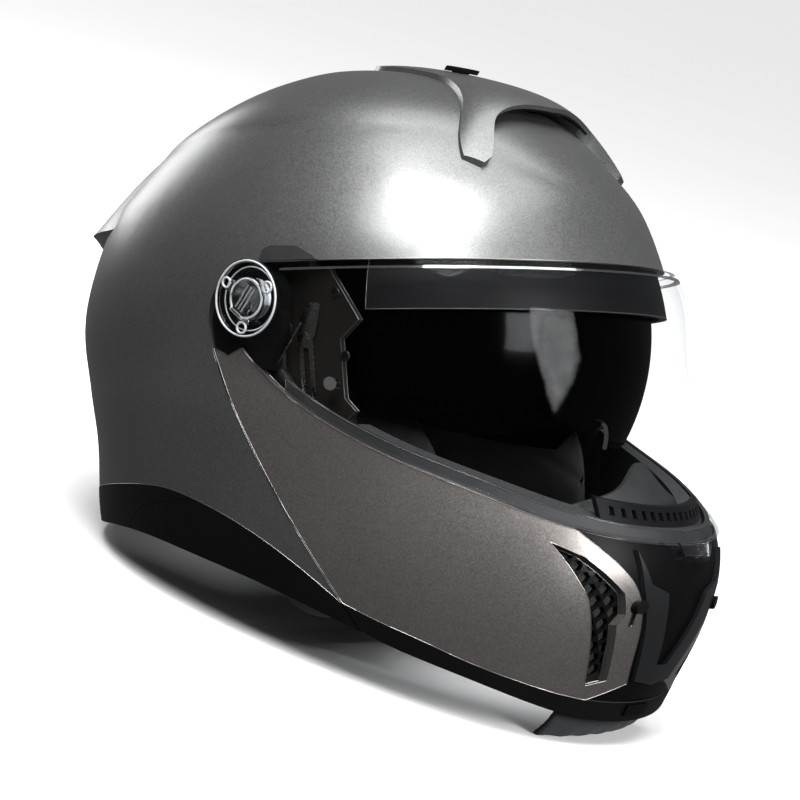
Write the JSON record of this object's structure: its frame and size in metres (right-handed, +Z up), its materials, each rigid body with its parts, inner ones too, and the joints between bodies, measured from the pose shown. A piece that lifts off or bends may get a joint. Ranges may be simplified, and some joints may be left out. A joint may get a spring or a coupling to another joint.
{
  "type": "motorcycle helmet",
  "caption": "Flip-up motorcycle helmet with hinged chin guard, clear shield, drop-down tinted sun visor, vents, padded lining and chin strap.",
  "frame": {"origin": "middle of the helmet's bounding box in X and Y, on the surface it rests on", "axes": "+X to the wearer's left, -Y ahead of the face, +Z up with the helmet leaning back on its chin curtain and rear trim"},
  "size_m": [0.264, 0.392, 0.284],
  "materials": {
    "satin_paint": "satin gunmetal metallic paint on a moulded shell",
    "foam": "dark expanded polystyrene foam",
    "lining": "dark padded lining cloth",
    "webbing": "woven black strap",
    "curtain": "slate grey stretch cloth",
    "clear_shield": "clear polycarbonate",
    "tinted_shield": "dark smoke polycarbonate",
    "clear_plastic": "clear moulded plastic",
    "steel": "zinc plated steel",
    "brushed": "brushed bright metal",
    "rubber": "soft black rubber",
    "lever_red": "matte red plastic",
    "satin_dark": "satin dark grey plastic",
    "black_plastic": "matt black plastic"
  },
  "bodies": {
    "shell": {"outer_shell": "satin_paint", "foam_liner": "foam", "brow_frame": "black_plastic", "ear_bumpers": "rubber", "crown_pad": "lining", "cheek_pad_left": "lining", "cheek_pad_right": "lining", "neck_roll": "lining", "rear_trim": "black_plastic", "side_trim_left": "black_plastic", "side_trim_right": "black_plastic", "temple_plate_left": "black_plastic", "temple_plate_right": "black_plastic", "hinge_pin_left": "steel", "hinge_pin_right": "steel", "sun_visor_pins": "steel", "lever_plate_left": "brushed", "lever_plate_right": "brushed", "latch_pin_left": "steel", "latch_pin_right": "steel", "chin_strap_left": "webbing", "chin_strap_right": "webbing", "strap_buckle": "steel", "top_vent_cover": "satin_paint", "top_vent_channel": "black_plastic", "rear_vent": "black_plastic"},
    "chin_guard_assembly": {"chin_guard": "satin_paint", "front_panel": "black_plastic", "chin_vent_fins": "satin_dark", "side_vent_mesh_left": "black_plastic", "side_vent_mesh_right": "black_plastic", "chin_liner": "black_plastic", "rim_gasket": "rubber", "defog_louver": "black_plastic", "breath_deflector": "black_plastic", "chin_lower_trim": "black_plastic", "chin_curtain": "curtain", "hinge_arm_left": "steel", "hinge_arm_right": "steel", "pivot_pod_left": "black_plastic", "pivot_pod_right": "black_plastic", "visor_pivot_left": "clear_plastic", "visor_pivot_right": "clear_plastic", "latch_hook_left": "black_plastic", "latch_hook_right": "black_plastic"},
    "visor": {"visor_shield": "clear_shield", "visor_catch": "black_plastic", "shield_studs": "brushed"},
    "sun_visor": {"sun_visor": "tinted_shield"},
    "sun_visor_slider": {"sun_visor_slider": "black_plastic"},
    "top_vent_slider": {"top_vent_slider": "black_plastic"},
    "side_vent_slider_left": {"side_vent_slider_left": "black_plastic"},
    "side_vent_slider_right": {"side_vent_slider_right": "black_plastic"},
    "release_button": {"release_button": "black_plastic"},
    "buckle_lever": {"buckle_lever": "lever_red"}
  },
  "joints": [
    {"name": "chin_guard_hinge", "type": "hinge", "parent": "shell", "child": "chin_guard_assembly", "pos_m": [0, 0.00847, 0.15831], "axis": [-1, 0, 0], "range_deg": [0, 75]},
    {"name": "visor_hinge", "type": "hinge", "parent": "chin_guard_assembly", "child": "visor", "pos_m": [0, 0.00847, 0.15831], "axis": [-1, 0, 0], "range_deg": [0, 34]},
    {"name": "sun_visor_hinge", "type": "hinge", "parent": "shell", "child": "sun_visor", "pos_m": [0, -0.00596, 0.14892], "axis": [-1, 0, 0], "range_deg": [0, 42]},
    {"name": "sun_visor_slide", "type": "slide", "parent": "shell", "child": "sun_visor_slider", "axis": [0.025, 0.9996, 0.0136], "range_m": [0, 0.02]},
    {"name": "top_vent_slide", "type": "slide", "parent": "shell", "child": "top_vent_slider", "axis": [0, 0.984, -0.1781], "range_m": [0, 0.008]},
    {"name": "side_vent_slide_left", "type": "slide", "parent": "chin_guard_assembly", "child": "side_vent_slider_left", "axis": [0, -0.0795, -0.9968], "range_m": [0, 0.008]},
    {"name": "side_vent_slide_right", "type": "slide", "parent": "chin_guard_assembly", "child": "side_vent_slider_right", "axis": [0, -0.0795, -0.9968], "range_m": [0, 0.008]},
    {"name": "release_button_slide", "type": "slide", "parent": "chin_guard_assembly", "child": "release_button", "axis": [0, 0.9384, -0.3456], "range_m": [0, 0.003], "stiffness_N_per_m": 300},
    {"name": "buckle_lever_hinge", "type": "hinge", "parent": "shell", "child": "buckle_lever", "pos_m": [0.01, -0.04234, 0.01834], "axis": [0, 0.9384, -0.3456], "range_deg": [0, 70]}
  ],
  "couplings": [
    {"joint": "sun_visor_slide", "follows": "sun_visor_hinge", "m_per_rad": 0.027284}
  ]
}
